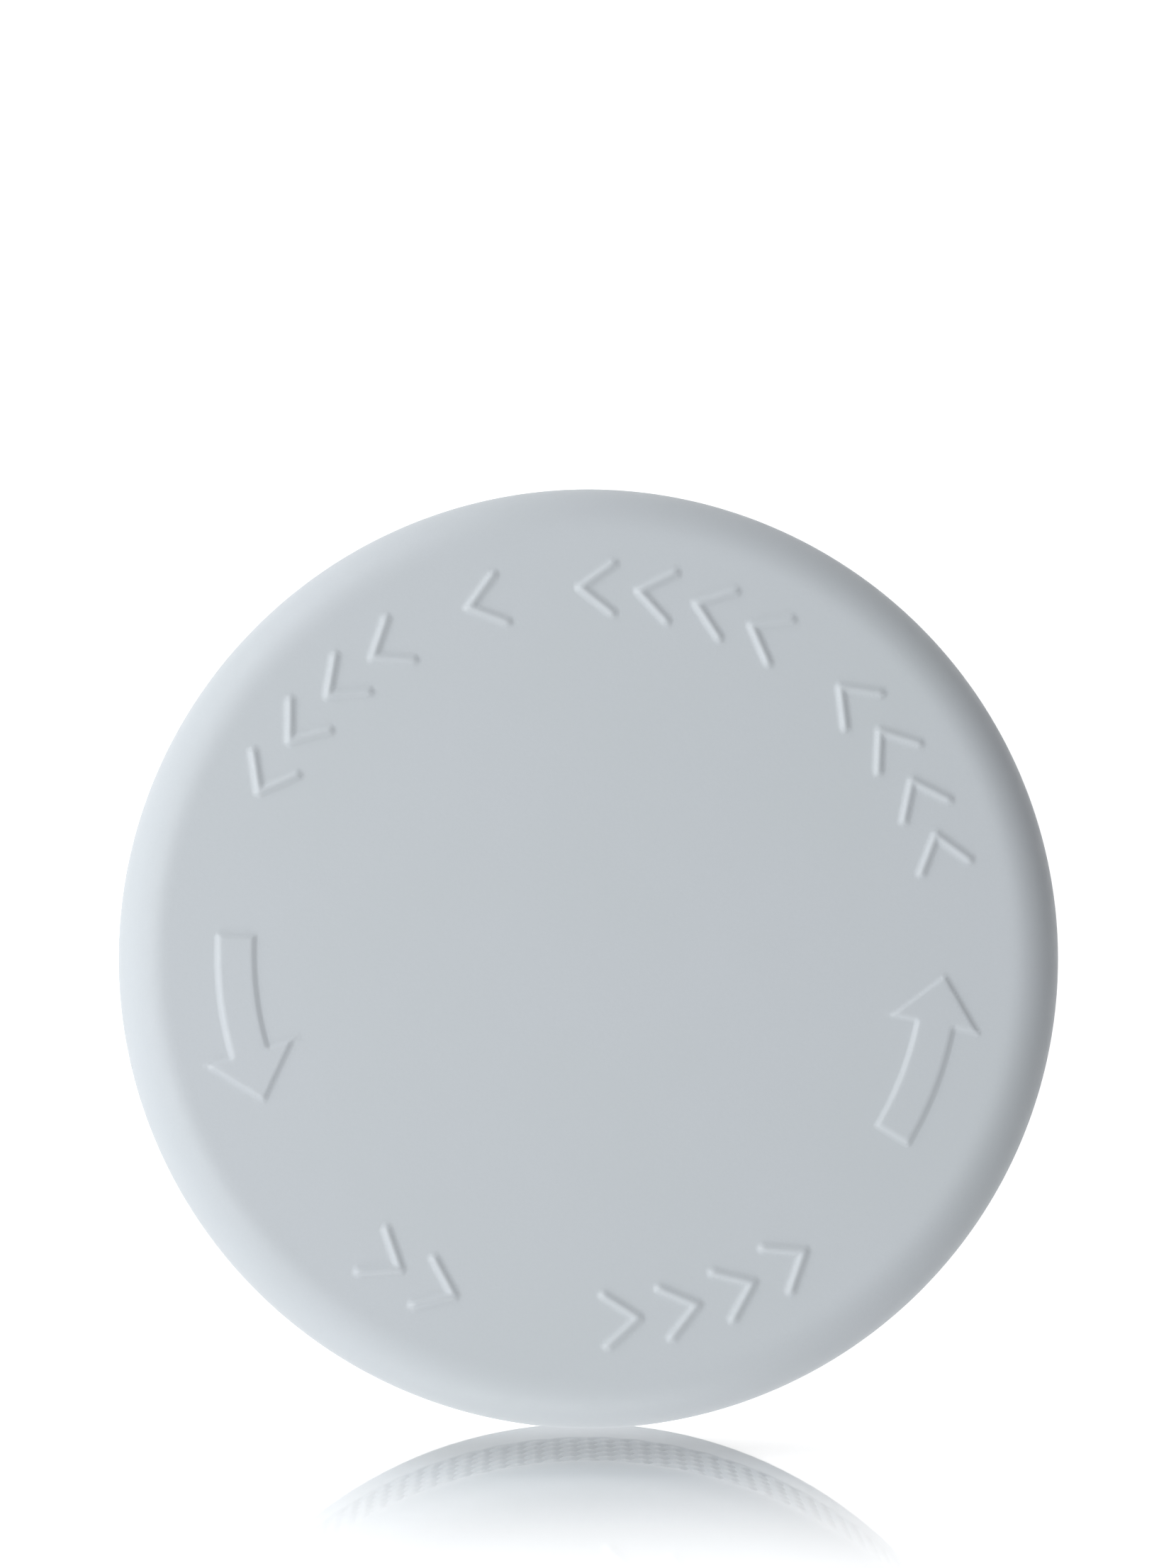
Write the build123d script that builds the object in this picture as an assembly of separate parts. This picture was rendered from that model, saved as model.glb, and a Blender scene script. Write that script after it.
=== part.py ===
from build123d import *

import os
from math import cos, radians, sin

# Child-resistant closure, opened by pushing down and turning, for a 38-400 bottle neck.
# Millimetres. +Z is the closure's axis, with the flat face up, and z = 0 is the open rim.

# Inner shell, sized by the neck that it screws onto
BORE_RADIUS = 19.0
NECK_ROOM_DEPTH = 12.0  # from the seal's face to the inner shell's rim
INNER_WALL = 1.15
INNER_PANEL = 1.3
INNER_EDGE_RADIUS = 0.6
FLANGE_WIDTH = 0.7
FLANGE_HEIGHT = 1.2
FLANGE_EDGE_RADIUS = 0.2
MOUTH_CHAMFER = 0.4

# Thread
THREAD_DEPTH = 1.05
THREAD_PITCH = 25.4 / 6
THREAD_TURNS = 1.5
THREAD_START = 2.6  # first ridge centre above the inner shell's rim
THREAD_RUNS = 4  # the ridge is broken into runs, so that it strips off its mould's core
RUN_BREAK = 12.0  # degrees without a ridge after each run
RIDGE_ROOT_WIDTH = 1.9
RIDGE_CREST_WIDTH = 0.9

# Liner, held above the thread
BOARD_THICKNESS = 0.9
FOIL_THICKNESS = 0.1
LINER_GAP = 0.2

# Outer shell, which runs over the inner shell
SHELL_GAP = 0.45  # between the shells' walls, at the face end
SKIRT_WALL = 1.2
SKIRT_FLARE = 0.8  # how much wider the skirt is at the rim than at the face
RIM_OVERHANG = 2.6  # from the outer shell's rim up to the inner shell's
PANEL_THICKNESS = 1.4
FACE_EDGE_RADIUS = 2.3
RIM_EDGE_RADIUS = 0.3
PANEL_CORNER_RADIUS = 0.8

# Snap bead inside the outer shell's rim, which keeps the inner shell in
BEAD_LEAD_IN = 1.0
BEAD_LAND = 0.5
BEAD_BACK = 0.3
SNAP_HOLD = 0.5  # how far the bead reaches under the inner shell's flange
SNAP_GAP = 0.1

# Push travel, and the lugs that mesh when the outer shell is pushed down. Both rings of
# lugs are as tall as the travel, and pass or bottom out with the lug gap to spare.
PUSH_TRAVEL = 1.5
LUG_GAP = 0.15
LUG_COUNT = 12
LUG_LENGTH = 3.75  # along a radius, from the inner shell's outside
INNER_LUG_WIDTH = 3.0
OUTER_LUG_WIDTH = 2.6
INNER_LUG_SETBACK = 0.7  # from the inner shell's outside
RAMP_WIDTH = 1.2
RAMP_DROP = 0.9

# Spring leaves between the two shells
LEAF_COUNT = 6
LEAF_SETBACK = 6.8  # from the lugs' inner ends to the leaves' middle
LEAF_WIDTH = 3.0
LEAF_LENGTH = 8.0
LEAF_THICKNESS = 0.6
LEAF_ROOT_LENGTH = 1.8
LEAF_ROOT_DEPTH = 0.9
LEAF_FOOT_LENGTH = 0.8
WEB_WIDTH = 4.4
WEB_THICKNESS = 0.3

# Raised arrows and marks on the face. Angles are from +X, anticlockwise seen from above.
ARROW_RELIEF = 0.25
ARROW_SETBACK = 5.35  # from the skirt's outside to the middle of the shaft
ARROW_WIDTH = 1.66
ARROW_SPAN = 19.9
ARROW_STARTS = (176.4, 329.2)
HEAD_WIDTH = 4.16
HEAD_LENGTH = 2.3
MARK_RELIEF = 0.3
MARK_SETBACK = 4.9  # from the skirt's outside to the middle of a mark
MARK_HEIGHT = 2.3  # along a radius, between the strokes' end centres
MARK_DEPTH = 1.5
MARK_STROKE = 0.6
MARK_PITCH = 9.3
# Each group of marks as (middle angle, count)
MARK_GROUPS = ((29.95, 4), (74.9, 4), (106.7, 1), (137.75, 4), (241.4, 2), (289.1, 4))
MARK_EDGE_RADIUS = 0.2
ROOT_DEPTH = 0.2  # how deep an added feature is rooted in the wall that carries it

# Heights that follow
INNER_RIM = RIM_OVERHANG
SEAL_FACE = INNER_RIM + NECK_ROOM_DEPTH
INNER_UNDERSIDE = SEAL_FACE + FOIL_THICKNESS + BOARD_THICKNESS
INNER_TOP = INNER_UNDERSIDE + INNER_PANEL
PANEL_UNDERSIDE = INNER_TOP + 2 * PUSH_TRAVEL + LUG_GAP
CAP_HEIGHT = PANEL_UNDERSIDE + PANEL_THICKNESS
BEAD_TOP = INNER_RIM - SNAP_GAP

# Radii that follow
CREST_RADIUS = BORE_RADIUS - THREAD_DEPTH
INNER_RADIUS = BORE_RADIUS + INNER_WALL
FLANGE_RADIUS = INNER_RADIUS + FLANGE_WIDTH
BEAD_RADIUS = FLANGE_RADIUS - SNAP_HOLD
LINER_RADIUS = BORE_RADIUS - LINER_GAP
TOP_RADIUS = INNER_RADIUS + SHELL_GAP + SKIRT_WALL
RIM_RADIUS = TOP_RADIUS + SKIRT_FLARE
LUG_START = INNER_RADIUS - LUG_LENGTH
LEAF_RING_RADIUS = LUG_START - LEAF_SETBACK
ARROW_RADIUS = TOP_RADIUS - ARROW_SETBACK
MARK_RADIUS = TOP_RADIUS - MARK_SETBACK


def skirt_radius(height):
    """Outside of the outer shell's sloping skirt at a height."""
    return RIM_RADIUS + (TOP_RADIUS - RIM_RADIUS) * height / CAP_HEIGHT


def skirt_inside(height):
    return skirt_radius(height) - SKIRT_WALL


def turned(points, corners):
    """A solid of revolution from (radius, height) points, with {point number: radius} rounded."""
    outline = make_face(Polyline(*points, close=True))
    for number, radius in corners.items():
        at = Vector(*points[number])
        corner = outline.vertices().sort_by_distance(at)[0]
        outline = fillet(corner, radius)
    return revolve(Plane.XZ * outline, Axis.Z)


def around(solid, count, first=0.0):
    """Copies of a solid at equal angles about the axis."""
    return [Rot(0, 0, first + 360 * n / count) * solid for n in range(count)]


def radial_prism(points, inner, outer):
    """A prism along a radius, whose section is drawn as (distance anticlockwise, height)."""
    section = make_face(Polyline(*points, close=True))
    along_x = Plane(origin=(inner, 0, 0), x_dir=(0, 1, 0), z_dir=(1, 0, 0))
    return extrude(along_x * section, outer - inner)


def outer_body():
    land_top = BEAD_TOP - BEAD_BACK
    land_foot = land_top - BEAD_LAND
    bead_foot = land_foot - BEAD_LEAD_IN
    points = [
        (0, CAP_HEIGHT),
        (TOP_RADIUS, CAP_HEIGHT),
        (RIM_RADIUS, 0),
        (skirt_inside(0), 0),
        (skirt_inside(bead_foot), bead_foot),
        (BEAD_RADIUS, land_foot),
        (BEAD_RADIUS, land_top),
        (skirt_inside(BEAD_TOP), BEAD_TOP),
        (skirt_inside(PANEL_UNDERSIDE), PANEL_UNDERSIDE),
        (0, PANEL_UNDERSIDE),
    ]
    return turned(points, {1: FACE_EDGE_RADIUS, 2: RIM_EDGE_RADIUS, 8: PANEL_CORNER_RADIUS})


def outer_lugs():
    """Lugs under the face, with a ramp on the side that leads when the closure is opened."""
    half = OUTER_LUG_WIDTH / 2
    top = PANEL_UNDERSIDE + ROOT_DEPTH
    foot = PANEL_UNDERSIDE - PUSH_TRAVEL
    points = [
        (-half, top),
        (-half, foot),
        (half - RAMP_WIDTH, foot),
        (half, foot + RAMP_DROP),
        (half, top),
    ]
    lug = radial_prism(points, LUG_START, skirt_inside(PANEL_UNDERSIDE) + ROOT_DEPTH)
    return around(lug, LUG_COUNT, 180 / LUG_COUNT)


def face_arrow(start):
    """A curved arrow that points anticlockwise, with a straight-sided head."""
    end = start + ARROW_SPAN
    half = ARROW_WIDTH / 2
    inner = [polar(ARROW_RADIUS - half, a) for a in (start, start + ARROW_SPAN / 2, end)]
    outer = [polar(ARROW_RADIUS + half, a) for a in (end, start + ARROW_SPAN / 2, start)]
    across = [polar(ARROW_RADIUS + side * HEAD_WIDTH / 2, end) for side in (-1, 1)]
    tip = polar(ARROW_RADIUS, end) + Vector(HEAD_LENGTH, 0).rotate(Axis.Z, end + 90)
    outline = [
        ThreePointArc(*inner),
        Polyline(inner[2], across[0], tip, across[1], outer[0]),
        ThreePointArc(*outer),
        Line(outer[2], inner[0]),
    ]
    base = CAP_HEIGHT - ROOT_DEPTH
    return extrude(Pos(0, 0, base) * make_face(outline), ARROW_RELIEF + ROOT_DEPTH)


def polar(radius, angle):
    return Vector(radius * cos(radians(angle)), radius * sin(radians(angle)))


def chevron():
    """One raised chevron at angle 0, pointing anticlockwise, with rounded strokes."""
    apex = Vector(0, MARK_DEPTH / 2)
    strokes = []
    for side in (-1, 1):
        tail = Vector(side * MARK_HEIGHT / 2, -MARK_DEPTH / 2)
        middle = (apex + tail) / 2
        arm = tail - apex
        angle = Vector(1, 0).get_signed_angle(arm, Vector(0, 0, 1))
        slot = SlotCenterToCenter(arm.length, MARK_STROKE)
        strokes.append(Pos(middle.X, middle.Y) * Rot(0, 0, angle) * slot)
    flat = strokes[0] + strokes[1]
    base = CAP_HEIGHT - ROOT_DEPTH
    solid = extrude(Pos(MARK_RADIUS, 0, base) * flat, MARK_RELIEF + ROOT_DEPTH)
    return fillet(solid.faces().sort_by(Axis.Z)[-1].edges(), MARK_EDGE_RADIUS)


def face_marks():
    """Groups of chevrons round the face, in place of lettering."""
    mark = chevron()
    marks = []
    for middle, count in MARK_GROUPS:
        first = middle - MARK_PITCH * (count - 1) / 2
        marks += [Rot(0, 0, first + MARK_PITCH * n) * mark for n in range(count)]
    return marks


def outer_shell():
    raised = face_marks() + [face_arrow(start) for start in ARROW_STARTS]
    return outer_body().fuse(*outer_lugs(), *raised)


def inner_body():
    points = [
        (0, INNER_TOP),
        (INNER_RADIUS, INNER_TOP),
        (INNER_RADIUS, INNER_RIM + FLANGE_HEIGHT),
        (FLANGE_RADIUS, INNER_RIM + FLANGE_HEIGHT),
        (FLANGE_RADIUS, INNER_RIM),
        (BORE_RADIUS + MOUTH_CHAMFER, INNER_RIM),
        (BORE_RADIUS, INNER_RIM + MOUTH_CHAMFER),
        (BORE_RADIUS, INNER_UNDERSIDE),
        (0, INNER_UNDERSIDE),
    ]
    return turned(points, {1: INNER_EDGE_RADIUS, 3: FLANGE_EDGE_RADIUS, 4: FLANGE_EDGE_RADIUS})


def thread_runs():
    """A right-hand ridge in equal runs, with a flat crest on the neck's thread radius."""
    step = 360 * THREAD_TURNS / THREAD_RUNS
    start = INNER_RIM + THREAD_START
    height = THREAD_PITCH * (step - RUN_BREAK) / 360
    path = Helix(THREAD_PITCH, height, BORE_RADIUS, center=(0, 0, start))
    slope = (RIDGE_ROOT_WIDTH - RIDGE_CREST_WIDTH) / 2 / THREAD_DEPTH
    reach = THREAD_DEPTH + ROOT_DEPTH
    root = RIDGE_ROOT_WIDTH / 2 + slope * ROOT_DEPTH
    crest = RIDGE_ROOT_WIDTH / 2 - slope * reach
    points = [(ROOT_DEPTH, -root), (-reach, -crest), (-reach, crest), (ROOT_DEPTH, root)]
    across = Plane(origin=path @ 0, x_dir=(1, 0, 0), z_dir=(0, -1, 0))
    section = across * make_face(Polyline(*points, close=True))
    band = sweep(section, path, is_frenet=True)
    run = band - Pos(0, 0, start) * Cylinder(CREST_RADIUS, 4 * THREAD_PITCH)
    rise = THREAD_PITCH * step / 360
    return [Pos(0, 0, rise * n) * Rot(0, 0, step * n) * run for n in range(THREAD_RUNS)]


def inner_lugs():
    """Lugs on the inner shell, with a ramp on the side that meets the outer lugs on opening."""
    half = INNER_LUG_WIDTH / 2
    foot = INNER_TOP - ROOT_DEPTH
    top = INNER_TOP + PUSH_TRAVEL
    points = [
        (-half, foot),
        (-half, top - RAMP_DROP),
        (RAMP_WIDTH - half, top),
        (half, top),
        (half, foot),
    ]
    lug = radial_prism(points, LUG_START, INNER_RADIUS - INNER_LUG_SETBACK)
    return around(lug, LUG_COUNT)


def inner_shell():
    return inner_body().fuse(*thread_runs(), *inner_lugs())


def spring_leaves():
    """Sloping leaves on a thin web, from the outer shell's panel down to the inner shell."""
    points = [
        (0, PANEL_UNDERSIDE),
        (LEAF_ROOT_LENGTH, PANEL_UNDERSIDE),
        (LEAF_LENGTH, INNER_TOP + LEAF_THICKNESS),
        (LEAF_LENGTH, INNER_TOP),
        (LEAF_LENGTH - LEAF_FOOT_LENGTH, INNER_TOP),
        (0, PANEL_UNDERSIDE - LEAF_ROOT_DEPTH),
    ]
    leaf = radial_prism(points, LEAF_RING_RADIUS - LEAF_WIDTH / 2, LEAF_RING_RADIUS + LEAF_WIDTH / 2)
    web = Cylinder(LEAF_RING_RADIUS + WEB_WIDTH / 2, WEB_THICKNESS)
    web -= Cylinder(LEAF_RING_RADIUS - WEB_WIDTH / 2, WEB_THICKNESS)
    web = Pos(0, 0, PANEL_UNDERSIDE - WEB_THICKNESS / 2) * web
    return web.fuse(*around(leaf, LEAF_COUNT))


def disc(radius, bottom, thickness):
    return Pos(0, 0, bottom + thickness / 2) * Cylinder(radius, thickness)


def liner_board():
    return disc(LINER_RADIUS, SEAL_FACE + FOIL_THICKNESS, BOARD_THICKNESS)


def seal_foil():
    return disc(LINER_RADIUS, SEAL_FACE, FOIL_THICKNESS)


PIECES = (outer_shell, inner_shell, spring_leaves, liner_board, seal_foil)


def main():
    os.makedirs("parts", exist_ok=True)
    for piece in PIECES:
        export_step(piece(), f"parts/{piece.__name__}.step")
    print(f"height {CAP_HEIGHT:.3f}, inner top {INNER_TOP:.3f}, seal face {SEAL_FACE:.3f}")


main()
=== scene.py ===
"""Looks for a white push-down-and-turn bottle closure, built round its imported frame.

Metres, in the frame's own axes: +Z is the closure's axis with the raised face up, and
z = 0 is the plane of its open rim. Sizes below are in millimetres. The camera looks down
the axis at the face, as if the closure stood on its edge on a glossy table.
"""

from math import atan2, cos, degrees, hypot, pi, radians, sin

import bmesh
import bpy
import numpy as np
from mathutils import Matrix, Vector

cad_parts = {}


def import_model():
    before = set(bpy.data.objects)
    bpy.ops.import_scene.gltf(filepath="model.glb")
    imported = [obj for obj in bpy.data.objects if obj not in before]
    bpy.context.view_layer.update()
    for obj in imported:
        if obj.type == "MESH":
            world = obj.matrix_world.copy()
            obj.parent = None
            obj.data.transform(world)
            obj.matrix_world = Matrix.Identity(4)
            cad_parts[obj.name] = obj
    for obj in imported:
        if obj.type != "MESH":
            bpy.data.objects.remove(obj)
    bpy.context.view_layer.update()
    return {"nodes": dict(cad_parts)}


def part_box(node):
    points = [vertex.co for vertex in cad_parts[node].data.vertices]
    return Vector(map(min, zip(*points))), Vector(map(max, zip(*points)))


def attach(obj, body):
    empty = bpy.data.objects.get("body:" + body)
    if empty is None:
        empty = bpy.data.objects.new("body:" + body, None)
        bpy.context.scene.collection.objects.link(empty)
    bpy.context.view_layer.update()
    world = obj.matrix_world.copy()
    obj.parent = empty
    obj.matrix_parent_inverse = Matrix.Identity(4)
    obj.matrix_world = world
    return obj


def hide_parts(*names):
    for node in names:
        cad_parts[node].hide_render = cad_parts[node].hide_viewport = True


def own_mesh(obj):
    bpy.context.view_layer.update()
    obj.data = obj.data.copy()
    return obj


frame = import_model()

MM = 0.001

# Outer shell
FRAME_RELIEF = 0.3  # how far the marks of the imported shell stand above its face
SKIRT_WALL = 1.2
SKIRT_FLARE = 0.8  # how much wider the skirt is at the rim than at the face
FACE_EDGE_RADIUS = 2.3
RIM_EDGE_RADIUS = 0.3
INSIDE_EDGE_RADIUS = 0.25
PANEL_CORNER_RADIUS = 0.8
PANEL_UNDERSIDE = 20.05
BEAD_RADIUS = 20.35
BEAD_HEIGHTS = (0.7, 1.7, 2.2, 2.5)  # foot, both ends of its land, top
BEAD_SOFTENING = 0.12

# Raised arrows and marks on the face. Angles are from +X, anticlockwise seen from above.
ARROW_RELIEF = 0.12
ARROW_SETBACK = 5.53
ARROW_WIDTH = 1.68
ARROW_SPAN = 19.3
ARROW_STARTS = (177.5, 328.8)
ARROW_EDGE = 0.17  # width of the soft slope at its outline
HEAD_WIDTH = 4.0
HEAD_LENGTH = 2.25
MARK_SETBACK = 4.9
MARK_HEIGHT = 2.3
MARK_DEPTH = 1.5
MARK_STROKE = 0.38
MARK_BEAD = 0.12  # their height above the face, softer than in the frame
MARK_FOOT = 0.06  # how far a mark's foot spreads past its stroke
MARK_PITCH = 9.3
MARK_GROUPS = ((29.95, 4), (74.9, 4), (106.7, 1), (137.75, 4), (241.4, 2), (289.1, 4))

# Knurl on the skirt
KNURL_CELLS = 82
KNURL_CELL_HEIGHT = 2.14
KNURL_BOTTOM = 7.5
KNURL_DEPTH = 0.24
GROOVE_HALF_WIDTH = 0.36
KNURL_FADE = 0.5  # how far from its ends the knurl reaches full depth

# Lugs inside the outer shell
LUG_COUNT = 12
LUG_INNER_END = 16.4
LUG_WIDTH = 2.6
LUG_DROP = 1.5
LUG_ROOT = 0.2
LUG_RAMP_WIDTH = 1.2
LUG_RAMP_DROP = 0.9
LUG_EDGE_RADIUS = 0.12

# Mesh fineness
FINE = 10 * KNURL_CELLS
COARSE = 2 * KNURL_CELLS
FACE_ROW = 0.115
KNURL_ROW = KNURL_CELL_HEIGHT / 10
EDGE_STEPS = 11
ROW_GAP = 0.3  # from a fine row to the first coarse one
PLAIN_ROWS = 5
FACE_PLAIN_ROWS = 7
RIM_ROW = 0.5  # height of the lowest row of the outside wall
PANEL_ROWS = (17, 12, 6, 1)  # radii
FOIL_RINGS = 30

# Ripple of the pressed foil
RIPPLE_HEIGHT = 0.012
RIPPLE_WAVES = 9
RIPPLE_MARGIN = 2.0

outer_low, outer_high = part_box("outer_shell")
CAP_HEIGHT = outer_high.z / MM - FRAME_RELIEF
SLOPE = SKIRT_FLARE / CAP_HEIGHT
RIM_RADIUS = outer_high.x / MM + SLOPE * RIM_EDGE_RADIUS
TOP_RADIUS = RIM_RADIUS - SKIRT_FLARE
TILT = atan2(SKIRT_FLARE, CAP_HEIGHT)
EDGE_CENTRE = (
    RIM_RADIUS - SLOPE * (CAP_HEIGHT - FACE_EDGE_RADIUS) - FACE_EDGE_RADIUS / cos(TILT),
    CAP_HEIGHT - FACE_EDGE_RADIUS,
)
KNURL_TOP = EDGE_CENTRE[1] + FACE_EDGE_RADIUS * sin(TILT)
ARROW_RADIUS = TOP_RADIUS - ARROW_SETBACK
MARK_RADIUS = TOP_RADIUS - MARK_SETBACK


def skirt_radius(height):
    return RIM_RADIUS - SLOPE * height


def smooth(share):
    """0 to 1 with level ends."""
    share = np.clip(share, 0, 1)
    return share * share * (3 - 2 * share)


def arc(centre, radius, start, end, steps):
    """(radius, height) points on an arc, with its angles in degrees from the radius axis."""
    angles = np.radians(np.linspace(start, end, steps + 1))
    return [(centre[0] + radius * cos(a), centre[1] + radius * sin(a)) for a in angles]


# ---------------------------------------------------------------- relief


def segment_distance(x, y, tail, tip):
    """Distance from each point to the straight stroke between two points."""
    along = np.subtract(tip, tail)
    share = ((x - tail[0]) * along[0] + (y - tail[1]) * along[1]) / (along @ along)
    share = np.clip(share, 0, 1)
    return np.hypot(x - tail[0] - share * along[0], y - tail[1] - share * along[1])


def local_axes(radius, angle, place, turn):
    """Places relative to a point at a radius and an angle: (outward, anticlockwise)."""
    x, y = radius * np.cos(angle), radius * np.sin(angle)
    c, s = cos(radians(turn)), sin(radians(turn))
    return x * c + y * s - place, y * c - x * s


def marks_relief(radius, angle):
    """Height of the chevrons above the face, each a pair of rounded strokes."""
    height = np.zeros(np.broadcast(radius, angle).shape)
    reach = MARK_STROKE / 2 + MARK_FOOT
    apex = (0, MARK_DEPTH / 2)
    tails = [(side * MARK_HEIGHT / 2, -MARK_DEPTH / 2) for side in (-1, 1)]
    for middle, count in MARK_GROUPS:
        for n in range(count):
            turn = middle + MARK_PITCH * (n - (count - 1) / 2)
            out, along = local_axes(radius, angle, MARK_RADIUS, turn)
            gap = np.minimum(*[segment_distance(out, along, tail, apex) for tail in tails])
            bead = np.clip(1 - (gap / reach) ** 2, 0, 1) ** 1.5
            height = np.maximum(height, MARK_BEAD * bead)
    return height


def arrow_relief(radius, angle):
    """Height of the two curved arrows above the face, flat-topped with soft edges."""
    height = np.zeros(np.broadcast(radius, angle).shape)
    for start in ARROW_STARTS:
        end = start + ARROW_SPAN
        middle, half_span = radians(start + ARROW_SPAN / 2), radians(ARROW_SPAN / 2)
        turn = (angle - middle + pi) % (2 * pi) - pi
        side = ARROW_WIDTH / 2 - abs(radius - ARROW_RADIUS)
        to_end = (half_span - turn) * ARROW_RADIUS + HEAD_LENGTH / 3
        shaft = np.minimum(side, np.minimum((turn + half_span) * ARROW_RADIUS, to_end))
        out, along = local_axes(radius, angle, ARROW_RADIUS, end)
        flank = HEAD_WIDTH / 2 * (1 - along / HEAD_LENGTH) - abs(out)
        flank = flank * HEAD_LENGTH / hypot(HEAD_LENGTH, HEAD_WIDTH / 2)
        head = np.minimum(along, flank)
        inside = np.maximum(shaft, head)
        height = np.maximum(height, ARROW_RELIEF * smooth(inside / ARROW_EDGE + 0.5))
    return height


def knurl_depth(height, angle):
    """Depth of the crossed grooves that leave rows of small diamonds on the skirt."""
    round_it = angle * KNURL_CELLS / (2 * pi)
    up = (height - KNURL_BOTTOM) / KNURL_CELL_HEIGHT
    cell_width = 2 * pi * TOP_RADIUS / KNURL_CELLS
    lane = cell_width * KNURL_CELL_HEIGHT / hypot(cell_width, KNURL_CELL_HEIGHT)
    depth = 0
    for across in (round_it + up, round_it - up):
        gap = abs(across - np.round(across)) * lane
        depth = np.maximum(depth, 1 - gap / GROOVE_HALF_WIDTH)
    ends = np.minimum(KNURL_TOP - height, height - KNURL_BOTTOM) / KNURL_FADE
    return KNURL_DEPTH * np.clip(depth, 0, 1) * smooth(ends)


# ---------------------------------------------------------------- meshes


def ring(radius, height, count, relief=0.0):
    """One ring of a turned surface, as (points, the relief already in its radius or height)."""
    angle = np.arange(count) * 2 * pi / count
    flat = np.zeros(count)
    points = np.stack([radius * np.cos(angle), radius * np.sin(angle), height + flat], 1)
    return points, relief + flat


def column_angles():
    return np.arange(FINE) * 2 * pi / FINE


def stitch(first, second, many, few, flip):
    """Faces between a ring with many points and a ring with few, of any whole ratio."""
    ratio = many // few
    faces = []
    for k in range(few):
        corner, after = second + k, second + (k + 1) % few
        fine = [first + (k * ratio + n) % many for n in range(ratio + 1)]
        half = ratio // 2
        faces += [(corner, fine[n], fine[n + 1]) for n in range(half)]
        faces.append((corner, fine[half], fine[half + 1], after))
        faces += [(after, fine[n], fine[n + 1]) for n in range(half + 1, ratio)]
    return [face[::-1] for face in faces] if flip else faces


def level_faces(first, second, count, bend_a, bend_b):
    """Faces between two rings of one size, split along whichever diagonal follows the relief."""
    a, b = np.arange(count), (np.arange(count) + 1) % count
    if not (bend_a.any() or bend_b.any()):
        return np.stack([first + a, second + a, second + b, first + b], 1).tolist()
    down = bend_a[a] + bend_b[b] >= bend_a[b] + bend_b[a]
    p, q, r, s = first + a, second + a, second + b, first + b
    one = np.where(down[:, None], np.stack([p, q, r], 1), np.stack([p, q, s], 1))
    two = np.where(down[:, None], np.stack([p, r, s], 1), np.stack([q, r, s], 1))
    return one.tolist() + two.tolist()


def skin(rings):
    """Points and faces of a closed turned surface. A ring of one point closes an end."""
    starts = np.cumsum([0] + [len(points) for points, _ in rings])
    faces = []
    for n in range(len(rings) - 1):
        first, second = int(starts[n]), int(starts[n + 1])
        count_a, count_b = len(rings[n][0]), len(rings[n + 1][0])
        if count_a == 1:
            faces += [(first, second + k, second + (k + 1) % count_b) for k in range(count_b)]
        elif count_b == 1:
            faces += [(second, first + (k + 1) % count_a, first + k) for k in range(count_a)]
        elif count_a == count_b:
            faces += level_faces(first, second, count_a, rings[n][1], rings[n + 1][1])
        elif count_a > count_b:
            faces += stitch(first, second, count_a, count_b, True)
        else:
            faces += stitch(second, first, count_b, count_a, False)
    return np.concatenate([points for points, _ in rings]), faces


def add_piece(name, points, faces):
    """A smooth-shaded mesh object from points in millimetres, with its faces outward."""
    mesh = bpy.data.meshes.new(name)
    mesh.from_pydata((np.asarray(points) * MM).tolist(), [], faces)
    work = bmesh.new()
    work.from_mesh(mesh)
    bmesh.ops.recalc_face_normals(work, faces=work.faces)
    work.to_mesh(mesh)
    work.free()
    mesh.shade_smooth()
    piece = bpy.data.objects.new(name, mesh)
    bpy.context.scene.collection.objects.link(piece)
    return piece


def face_rings():
    """The raised face, from its middle to where its rounded edge starts."""
    marks_start = ARROW_RADIUS - HEAD_WIDTH / 2 - ARROW_EDGE
    marks_end = MARK_RADIUS + MARK_HEIGHT / 2 + MARK_STROKE / 2 + MARK_FOOT + 3 * FACE_ROW
    rings = [ring(0, CAP_HEIGHT, 1)]
    rings += [ring(r, CAP_HEIGHT, COARSE) for r in np.linspace(1, marks_start - 0.4, FACE_PLAIN_ROWS)]
    angle = column_angles()
    for r in np.arange(marks_start, marks_end, FACE_ROW):
        relief = np.maximum(marks_relief(r, angle), arrow_relief(r, angle))
        rings.append(ring(r, CAP_HEIGHT + relief, FINE, relief))
    rings.append(ring(EDGE_CENTRE[0] - ROW_GAP, CAP_HEIGHT, FINE))
    return rings


def skirt_rings():
    """The rounded edge of the face, the knurl and the smooth band down to the rim."""
    edge = arc(EDGE_CENTRE, FACE_EDGE_RADIUS, 90, degrees(TILT), EDGE_STEPS)
    rings = [ring(r, z, FINE) for r, z in edge]
    angle = column_angles()
    rows = round((KNURL_TOP - KNURL_BOTTOM) / KNURL_ROW)
    for height in np.linspace(KNURL_TOP, KNURL_BOTTOM, rows + 1)[1:]:
        depth = knurl_depth(height, angle)
        rings.append(ring(skirt_radius(height) - depth, height, FINE, depth))
    plain = np.linspace(KNURL_BOTTOM - ROW_GAP, RIM_ROW, PLAIN_ROWS)
    rings += [ring(skirt_radius(z), z, COARSE) for z in plain]
    return rings


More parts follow.
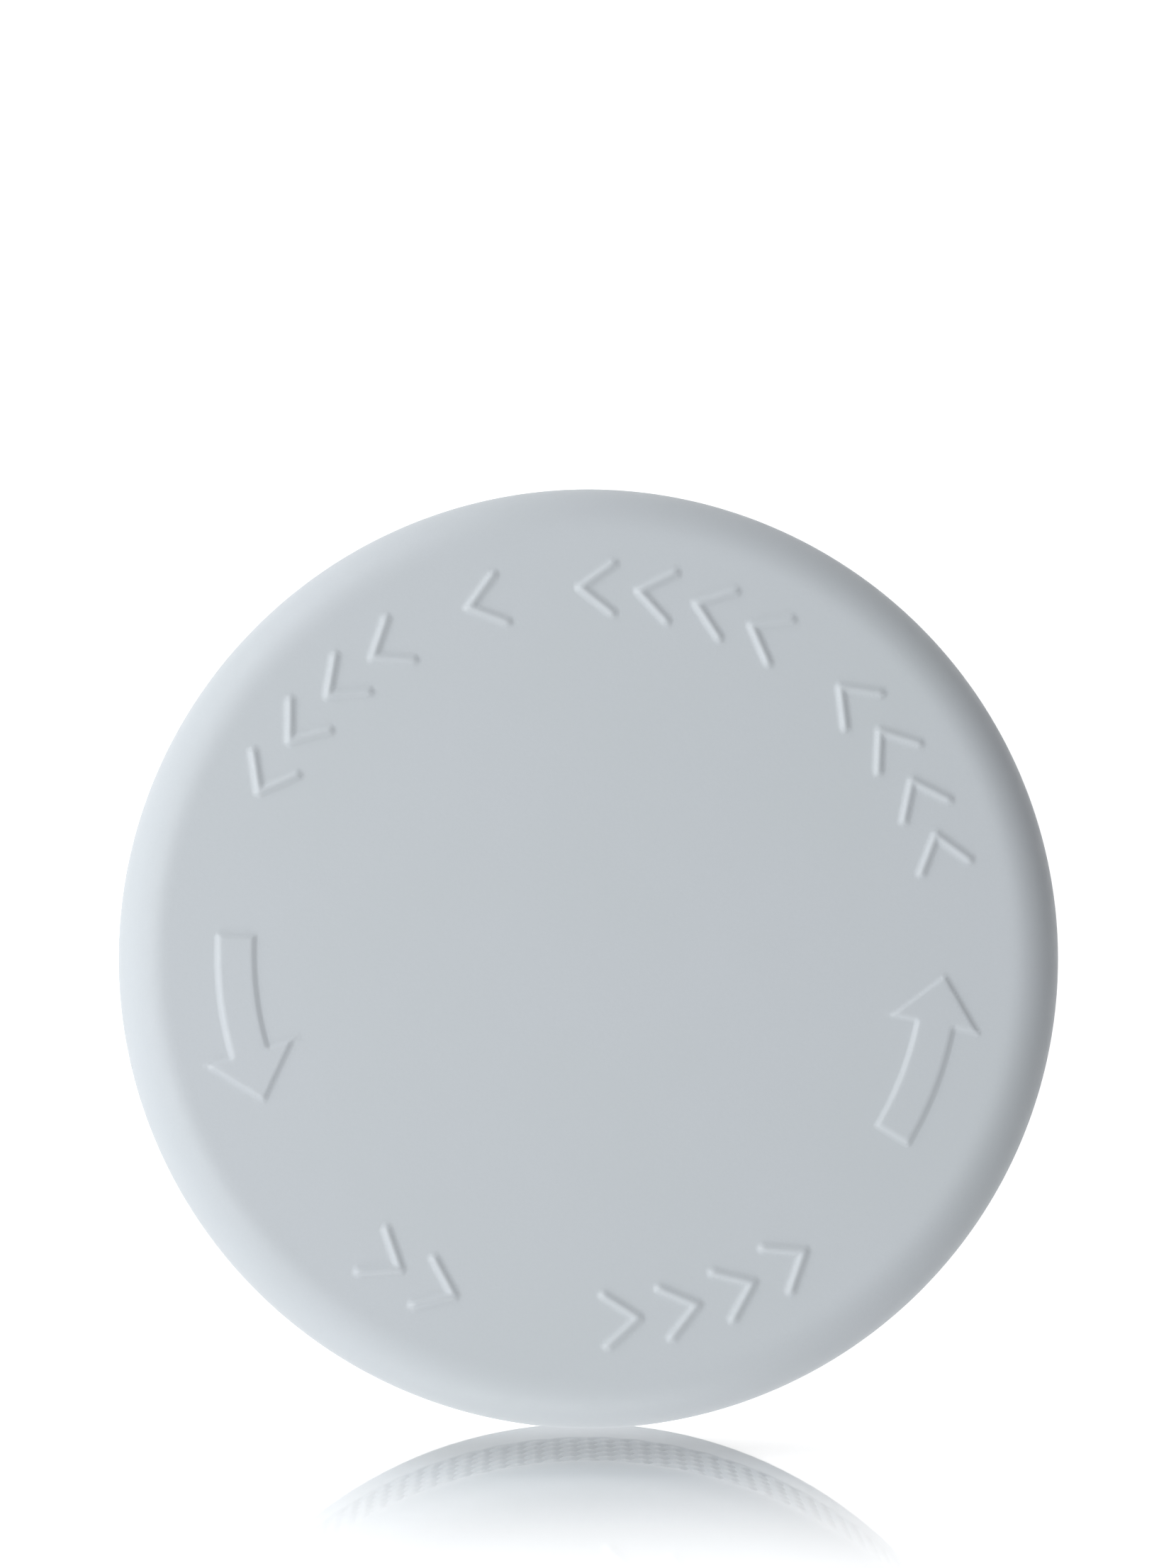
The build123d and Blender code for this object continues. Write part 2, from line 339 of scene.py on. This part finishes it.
def inside_rings():
    """The rim's two rounded edges, the snap bead, the wall and the panel's underside."""
    centre = (skirt_radius(RIM_EDGE_RADIUS) - RIM_EDGE_RADIUS, RIM_EDGE_RADIUS)
    line = arc(centre, RIM_EDGE_RADIUS, 0, -90, 6)
    inner_wall = skirt_radius(0) - SKIRT_WALL
    centre = (inner_wall + INSIDE_EDGE_RADIUS, INSIDE_EDGE_RADIUS)
    line += arc(centre, INSIDE_EDGE_RADIUS, -90, -180, 5)
    foot, land_foot, land_top, top = BEAD_HEIGHTS
    wall = lambda z: skirt_radius(z) - SKIRT_WALL
    line += [(wall(foot), foot), (BEAD_RADIUS + BEAD_SOFTENING, land_foot - BEAD_SOFTENING)]
    line += [(BEAD_RADIUS, land_foot + BEAD_SOFTENING), (BEAD_RADIUS, land_top - BEAD_SOFTENING)]
    line += [(BEAD_RADIUS + BEAD_SOFTENING, land_top), (wall(top), top)]
    line += [(wall(z), z) for z in np.linspace(top + 1, PANEL_UNDERSIDE - 2, PLAIN_ROWS)]
    corner = (wall(PANEL_UNDERSIDE) - PANEL_CORNER_RADIUS, PANEL_UNDERSIDE - PANEL_CORNER_RADIUS)
    line += arc(corner, PANEL_CORNER_RADIUS, 0, 90, 6)
    line += [(r, PANEL_UNDERSIDE) for r in PANEL_ROWS]
    return [ring(r, z, COARSE) for r, z in line] + [ring(0, PANEL_UNDERSIDE, 1)]


def lug_mesh():
    """One lug with rounded edges, along +X under the panel."""
    half = LUG_WIDTH / 2
    top = PANEL_UNDERSIDE + LUG_ROOT
    foot = PANEL_UNDERSIDE - LUG_DROP
    section = [(-half, top), (-half, foot), (half - LUG_RAMP_WIDTH, foot)]
    section += [(half, foot + LUG_RAMP_DROP), (half, top)]
    ends = (LUG_INNER_END, skirt_radius(PANEL_UNDERSIDE) - SKIRT_WALL + LUG_ROOT)
    lug = bmesh.new()
    loops = [[lug.verts.new((x, y, z)) for y, z in section] for x in ends]
    lug.faces.new(loops[0])
    lug.faces.new(loops[1][::-1])
    for n in range(len(section)):
        m = (n + 1) % len(section)
        lug.faces.new((loops[0][n], loops[1][n], loops[1][m], loops[0][m]))
    bmesh.ops.recalc_face_normals(lug, faces=lug.faces)
    bmesh.ops.bevel(lug, geom=lug.edges[:], offset=LUG_EDGE_RADIUS, segments=3, profile=0.5,
                    affect="EDGES")
    lug.verts.index_update()
    points = np.array([v.co for v in lug.verts])
    faces = [[v.index for v in f.verts] for f in lug.faces]
    lug.free()
    return points, faces


def outer_shell():
    points, faces = skin(face_rings() + skirt_rings() + inside_rings())
    lug_points, lug_faces = lug_mesh()
    parts, total = [points], len(points)
    for n in range(LUG_COUNT):
        turn = 2 * pi * (n + 0.5) / LUG_COUNT
        x, y, z = lug_points.T
        turned = (x * cos(turn) - y * sin(turn), x * sin(turn) + y * cos(turn), z)
        parts.append(np.stack(turned, 1))
        faces += [tuple(total + index for index in face) for face in lug_faces]
        total += len(lug_points)
    shell = add_piece("outer_shell_moulded", np.concatenate(parts), faces)
    shell.data.materials.append(outer_plastic())
    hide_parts("outer_shell")
    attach(shell, "outer")
    return shell


def spring_leaves():
    """The spring leaves, on a mesh of their own on the leaves body. In the closure they flatten
    towards the inner shell as the outer shell is pushed down.
    """
    mesh = frame["nodes"]["spring_leaves"].data.copy()
    mesh.name = "spring_leaves_moulded"
    mesh.materials.clear()
    mesh.materials.append(bpy.data.materials["outer_plastic_matte"])
    leaves = bpy.data.objects.new(mesh.name, mesh)
    bpy.context.scene.collection.objects.link(leaves)
    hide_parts("spring_leaves")
    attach(leaves, "leaves")
    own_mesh(leaves)
    return leaves


def seal_foil():
    """The foil laminate under the liner, pressed flat but faintly rippled."""
    low, high = (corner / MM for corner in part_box("seal_foil"))
    chance = np.random.default_rng(7)
    waves = [(chance.uniform(0.3, 1.1), chance.uniform(0, 2 * pi), chance.uniform(0, 2 * pi))
             for _ in range(RIPPLE_WAVES)]

    def ripple(x, y):
        total = sum(np.sin(pace * (x * cos(way) + y * sin(way)) + shift)
                    for pace, way, shift in waves)
        return RIPPLE_HEIGHT * total / len(waves) ** 0.5

    rings = [ring(0, high.z, 1), ring(high.x, high.z, COARSE), ring(high.x, low.z, COARSE)]
    for r in np.linspace(high.x, 0, FOIL_RINGS + 1)[1:-1]:
        points, flat = ring(r, low.z, COARSE)
        points[:, 2] += ripple(points[:, 0], points[:, 1]) * smooth((high.x - r) / RIPPLE_MARGIN)
        rings.append((points, flat))
    rings.append(ring(0, low.z + float(ripple(0, 0)), 1))
    foil = add_piece("seal_foil_pressed", *skin(rings))
    foil.data.materials.append(foil_metal())
    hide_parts("seal_foil")
    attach(foil, "inner")
    return foil


# ---------------------------------------------------------------- materials


class Finish:
    """A node material in the making: its shader, and short ways to add nodes to it."""

    def __init__(self, name):
        self.material = bpy.data.materials.new(name)
        self.material.use_nodes = True
        self.nodes = self.material.node_tree.nodes
        self.links = self.material.node_tree.links
        self.shader = self.nodes["Principled BSDF"]
        self.place = self.nodes.new("ShaderNodeTexCoord").outputs["Object"]
        self.normal = None

    def set(self, **values):
        """Constant values on the shader's own sockets."""
        for name, value in values.items():
            self.shader.inputs[name.replace("_", " ")].default_value = value

    def noise(self, size_mm, detail=2.0, stretch=(1, 1, 1)):
        """Noise whose features are about that many millimetres across, from 0 to 1."""
        mapping = self.nodes.new("ShaderNodeMapping")
        mapping.inputs["Scale"].default_value = stretch
        self.links.new(self.place, mapping.inputs["Vector"])
        texture = self.nodes.new("ShaderNodeTexNoise")
        texture.inputs["Scale"].default_value = 1 / (size_mm * MM)
        texture.inputs["Detail"].default_value = detail
        self.links.new(mapping.outputs["Vector"], texture.inputs["Vector"])
        return texture.outputs["Fac"]

    def ramp(self, value, low, high):
        """Spreads a noise's middle range over low to high."""
        spread = self.nodes.new("ShaderNodeMapRange")
        spread.inputs["From Min"].default_value = 0.3
        spread.inputs["From Max"].default_value = 0.7
        spread.inputs["To Min"].default_value = low
        spread.inputs["To Max"].default_value = high
        self.links.new(value, spread.inputs["Value"])
        return spread.outputs["Result"]

    def mix(self, share, first, second):
        """A colour between two, each a tuple or a socket."""
        node = self.nodes.new("ShaderNodeMix")
        node.data_type = "RGBA"
        self.links.new(share, node.inputs["Factor"])
        for socket, colour in ((node.inputs[6], first), (node.inputs[7], second)):
            if isinstance(colour, tuple):
                socket.default_value = (*colour, 1)
            else:
                self.links.new(colour, socket)
        return node.outputs[2]

    def bump(self, value, height_mm, strength=1.0):
        """Adds relief of about that height to what is there already."""
        node = self.nodes.new("ShaderNodeBump")
        node.inputs["Distance"].default_value = height_mm * MM
        node.inputs["Strength"].default_value = strength
        self.links.new(value, node.inputs["Height"])
        if self.normal:
            self.links.new(self.normal, node.inputs["Normal"])
        self.normal = node.outputs["Normal"]

    def done(self, colour=None, roughness=None):
        if colour:
            self.links.new(colour, self.shader.inputs["Base Color"])
        if roughness:
            self.links.new(roughness, self.shader.inputs["Roughness"])
        if self.normal:
            self.links.new(self.normal, self.shader.inputs["Normal"])
        return self.material


def outer_plastic():
    """Cool white polypropylene off a finely blasted mould: matte, with faint flow tones."""
    finish = Finish("outer_plastic_matte")
    finish.set(IOR=1.49, Subsurface_Weight=0.12, Subsurface_Scale=0.6 * MM,
               Subsurface_Radius=(1.0, 0.95, 0.9))
    flow = finish.ramp(finish.noise(9, 3), 0, 1)
    tone = finish.mix(flow, (0.640, 0.683, 0.712), (0.652, 0.690, 0.728))
    speck = finish.ramp(finish.noise(0.12, 1), 0, 0.35)
    colour = finish.mix(speck, tone, (0.630, 0.668, 0.700))
    roughness = finish.ramp(finish.noise(0.5, 3), 0.44, 0.54)
    finish.bump(finish.noise(6, 2), 0.02)
    finish.bump(finish.noise(0.16, 2), 0.004)
    return finish.done(colour, roughness)


def inner_plastic():
    """Natural polypropylene: warmer and glossier, with fine lines from its turned core."""
    finish = Finish("inner_plastic_satin")
    finish.set(IOR=1.49, Subsurface_Weight=0.2, Subsurface_Scale=0.9 * MM,
               Subsurface_Radius=(1.0, 0.98, 0.92))
    flow = finish.ramp(finish.noise(5, 3), 0, 1)
    colour = finish.mix(flow, (0.745, 0.760, 0.755), (0.775, 0.785, 0.780))
    roughness = finish.ramp(finish.noise(0.8, 3), 0.30, 0.42)
    finish.bump(finish.noise(3, 2), 0.012)
    finish.bump(finish.noise(0.25, 2, (0.05, 0.05, 1)), 0.002)
    return finish.done(colour, roughness)


def pulp_board():
    """Pressed pulp: pale tan with short fibres and a rough cut edge."""
    finish = Finish("pulp_board_pressed")
    finish.set(IOR=1.4)
    fibre = finish.ramp(finish.noise(0.35, 5, (1, 0.25, 2)), 0, 1)
    tone = finish.mix(fibre, (0.560, 0.500, 0.395), (0.680, 0.625, 0.515))
    fleck = finish.ramp(finish.noise(0.9, 4), 0, 0.5)
    colour = finish.mix(fleck, tone, (0.500, 0.440, 0.340))
    roughness = finish.ramp(finish.noise(0.5, 3), 0.82, 0.95)
    finish.bump(finish.noise(0.2, 4, (1, 0.3, 2)), 0.02)
    return finish.done(colour, roughness)


def foil_metal():
    """Aluminium foil under a clear film: bright, with rolling lines and a soft sheen."""
    finish = Finish("foil_film_coated")
    finish.set(Metallic=1.0, Coat_Weight=0.35, Coat_Roughness=0.2)
    rolled = finish.ramp(finish.noise(0.4, 3, (1, 0.02, 1)), 0, 1)
    colour = finish.mix(rolled, (0.80, 0.81, 0.82), (0.88, 0.885, 0.89))
    roughness = finish.ramp(finish.noise(0.3, 3, (1, 0.05, 1)), 0.26, 0.36)
    finish.bump(finish.noise(2.2, 3), 0.02)
    finish.bump(finish.noise(0.3, 2, (1, 0.03, 1)), 0.001)
    return finish.done(colour, roughness)


def finish_node(name, material):
    """A new material on a node that keeps its own shape."""
    node = frame["nodes"][name]
    if not node.material_slots:
        node.data.materials.append(material)
    for slot in node.material_slots:
        slot.material = material


# ---------------------------------------------------------------- studio

FACE = Vector((0, 0, CAP_HEIGHT * MM))
CAMERA_DISTANCE = 0.193  # in front of the face
CAMERA_DROP = 0.0115  # below the closure's axis, since it stands on its edge
CAMERA_LEFT = 0.00198
AIM_RISE = 0.00773  # how far above the axis the camera aims
AIM_RIGHT = -0.00006
LENS = 96.3
SENSOR = 36

# Soft boxes as (name, direction it comes from, distance, size, level). A level of 1 shows
# a surface that faces the box at its own colour.
BOXES = (
    ("front_box", (-0.60, 0.00, 0.80), 0.40, 0.22, 0.42),
    ("side_box", (-0.97, 0.10, 0.20), 0.32, 0.20, 0.15),
    ("high_box", (-0.60, 0.70, 0.40), 0.32, 0.20, 0.30),
    ("table_front", (0.00, -0.90, 0.42), 0.30, 0.18, 0.26),
    ("table_glow", (-0.35, -0.93, 0.10), 0.30, 0.18, 0.14),
)
BOX_COLOUR = (0.98, 0.995, 1.0)
AMBIENT = (0.22, 0.22, 0.225)

FLOOR_REACH = 3.0
FLOOR_GAP = 0.00003  # how far under the rim it lies
FLOOR_PAINT = 0.8  # its colour for the light that it sends back
FLOOR_SEEN = 0.5  # its colour where it is seen, with the glow on top
FLOOR_GLOW = 0.94

# Glossy table that the closure stands on edge on, seen only at a grazing angle
TABLE_HALF_WIDTH = 0.034
TABLE_FADE = (0.040, 0.108)  # its reflection fades out between these, towards the camera
TABLE_GAP = 0.00003
TABLE_ROUGHNESS = 0.02
SHADE_REACH = (0.024, 0.024)  # how far the contact shade reaches, sideways and forward
SHADE_LEVEL = 0.72
GLOSS_IOR = 1.2
GRAZING_RANGE = (0.25, 0.45)  # Fresnel off the table, from clear to mirror


def camera():
    """A long lens just above the table, level with the lower half of the face."""
    data = bpy.data.cameras.new("camera")
    data.sensor_width = SENSOR
    data.lens = LENS
    data.clip_start = 0.01
    data.clip_end = 20
    view = bpy.data.objects.new("camera", data)
    view.location = FACE + Vector((-CAMERA_LEFT, -CAMERA_DROP, CAMERA_DISTANCE))
    back = (view.location - FACE - Vector((AIM_RIGHT, AIM_RISE, 0))).normalized()
    right = Vector((0, 1, 0)).cross(back).normalized()
    view.rotation_mode = "QUATERNION"
    view.rotation_quaternion = Matrix((right, back.cross(right), back)).transposed().to_quaternion()
    bpy.context.scene.collection.objects.link(view)
    bpy.context.scene.camera = view


def lamps():
    for name, way, distance, size, level in BOXES:
        data = bpy.data.lights.new(name, "AREA")
        data.shape = "DISK"
        data.size = size
        data.energy = level * pi * pi * distance * distance
        data.color = BOX_COLOUR
        lamp = bpy.data.objects.new(name, data)
        way = Vector(way).normalized()
        lamp.location = FACE + way * distance
        lamp.rotation_mode = "QUATERNION"
        lamp.rotation_quaternion = (-way).to_track_quat("-Z", "Y")
        bpy.context.scene.collection.objects.link(lamp)


def maths(nodes, links, operation, first, second):
    """One sum of two sockets, kept between 0 and 1."""
    node = nodes.new("ShaderNodeMath")
    node.operation = operation
    node.use_clamp = True
    links.new(first, node.inputs[0])
    links.new(second, node.inputs[1])
    return node.outputs[0]


def mapped(nodes, links, value, start, end):
    """0 at one end of a range of values and 1 at the other."""
    node = nodes.new("ShaderNodeMapRange")
    node.inputs["From Min"].default_value = start
    node.inputs["From Max"].default_value = end
    links.new(value, node.inputs["Value"])
    return node.outputs["Result"]


def blend(nodes, links, share, first, second):
    """A shader between two: the first where share is 0, the second where it is 1."""
    node = nodes.new("ShaderNodeMixShader")
    links.new(share, node.inputs["Fac"])
    links.new(first, node.inputs[1])
    links.new(second, node.inputs[2])
    return node.outputs[0]


def coloured(nodes, kind, colour):
    """A shader node of that kind in one colour."""
    node = nodes.new(kind)
    node.inputs["Color"].default_value = (*colour, 1)
    return node.outputs[0]


def seen_directly(nodes, links):
    """1 for rays that see a backdrop as it looks: straight on, mirrored or through glass."""
    path = nodes.new("ShaderNodeLightPath")
    total = path.outputs["Is Camera Ray"]
    for name in ("Is Glossy Ray", "Is Transmission Ray"):
        total = maths(nodes, links, "MAXIMUM", total, path.outputs[name])
    return total


def world():
    """White where it is seen, and a plain cool ambient light otherwise."""
    sky = bpy.data.worlds.new("studio")
    bpy.context.scene.world = sky
    sky.use_nodes = True
    nodes, links = sky.node_tree.nodes, sky.node_tree.links
    light = nodes["Background"]
    light.inputs["Color"].default_value = (*AMBIENT, 1)
    white = coloured(nodes, "ShaderNodeBackground", (1, 1, 1))
    look = blend(nodes, links, seen_directly(nodes, links), light.outputs[0], white)
    links.new(look, nodes["World Output"].inputs["Surface"])


def stage_plane(name, corners, material):
    mesh = bpy.data.meshes.new(name)
    mesh.from_pydata(corners, [], [(0, 1, 2, 3)])
    mesh.materials.append(material)
    plane = bpy.data.objects.new(name, mesh)
    bpy.context.scene.collection.objects.link(plane)
    return plane


def bare_material(name):
    """A material with nothing in it but its output, as (material, nodes, links)."""
    material = bpy.data.materials.new(name)
    material.use_nodes = True
    nodes, links = material.node_tree.nodes, material.node_tree.links
    nodes.remove(nodes["Principled BSDF"])
    return material, nodes, links


def floor():
    """A white floor, clear from below, whose glow leaves the shadow on it too faint to see."""
    material, nodes, links = bare_material("floor_white")
    paint = coloured(nodes, "ShaderNodeBsdfDiffuse", (FLOOR_PAINT,) * 3)
    seen = nodes.new("ShaderNodeAddShader")
    links.new(coloured(nodes, "ShaderNodeBsdfDiffuse", (FLOOR_SEEN,) * 3), seen.inputs[0])
    links.new(coloured(nodes, "ShaderNodeEmission", (FLOOR_GLOW,) * 3), seen.inputs[1])
    top = blend(nodes, links, seen_directly(nodes, links), paint, seen.outputs[0])
    clear = nodes.new("ShaderNodeBsdfTransparent").outputs[0]
    below = nodes.new("ShaderNodeNewGeometry").outputs["Backfacing"]
    look = blend(nodes, links, below, top, clear)
    links.new(look, nodes["Material Output"].inputs["Surface"])
    far, z = FLOOR_REACH, -FLOOR_GAP
    stage_plane("floor", [(-far, -far, z), (far, -far, z), (far, far, z), (-far, far, z)], material)


def contact_shade(nodes, links):
    """Darkest where the closure touches the table, and 1 a little way off."""
    place = nodes.new("ShaderNodeTexCoord").outputs["Object"]
    steps = (
        ("SUBTRACT", (0, outer_low.y - TABLE_GAP, outer_high.z)),
        ("DIVIDE", (SHADE_REACH[0], 1, SHADE_REACH[1])),
    )
    for operation, values in steps:
        node = nodes.new("ShaderNodeVectorMath")
        node.operation = operation
        node.inputs[1].default_value = values
        links.new(place, node.inputs[0])
        place = node.outputs[0]
    length = nodes.new("ShaderNodeVectorMath")
    length.operation = "LENGTH"
    links.new(place, length.inputs[0])
    shade = nodes.new("ShaderNodeMapRange")
    shade.interpolation_type = "SMOOTHSTEP"
    shade.inputs["To Min"].default_value = SHADE_LEVEL
    links.new(length.outputs["Value"], shade.inputs["Value"])
    return shade.outputs["Result"]


def mirror_share(nodes, links):
    """1 at grazing angles to the table's top, fading out in front of the closure."""
    fresnel = nodes.new("ShaderNodeFresnel")
    fresnel.inputs["IOR"].default_value = GLOSS_IOR
    grazing = mapped(nodes, links, fresnel.outputs[0], *GRAZING_RANGE)
    axes = nodes.new("ShaderNodeSeparateXYZ")
    links.new(nodes.new("ShaderNodeTexCoord").outputs["Object"], axes.inputs[0])
    near = mapped(nodes, links, axes.outputs["Z"], TABLE_FADE[1], TABLE_FADE[0])
    share = maths(nodes, links, "MULTIPLY", grazing, near)
    below = nodes.new("ShaderNodeNewGeometry").outputs["Backfacing"]
    return maths(nodes, links, "SUBTRACT", share, below)


def glossy_table():
    """Clear gloss just under the closure's lowest edge, which mirrors only at grazing angles."""
    material, nodes, links = bare_material("table_gloss")
    clear = nodes.new("ShaderNodeBsdfTransparent").outputs[0]
    mirror = nodes.new("ShaderNodeBsdfGlossy")
    mirror.inputs["Roughness"].default_value = TABLE_ROUGHNESS
    links.new(contact_shade(nodes, links), mirror.inputs["Color"])
    look = blend(nodes, links, mirror_share(nodes, links), clear, mirror.outputs[0])
    links.new(look, nodes["Material Output"].inputs["Surface"])
    y, half, front = outer_low.y - TABLE_GAP, TABLE_HALF_WIDTH, TABLE_FADE[1]
    table = stage_plane("table", [(-half, y, 0), (-half, y, front), (half, y, front), (half, y, 0)],
                        material)
    table.visible_shadow = False
    table.visible_diffuse = False
    table.visible_glossy = False


outer_shell()
spring_leaves()
seal_foil()
finish_node("inner_shell", inner_plastic())
finish_node("liner_board", pulp_board())
camera()
lamps()
world()
floor()
glossy_table()
bpy.context.scene.view_settings.view_transform = "Standard"
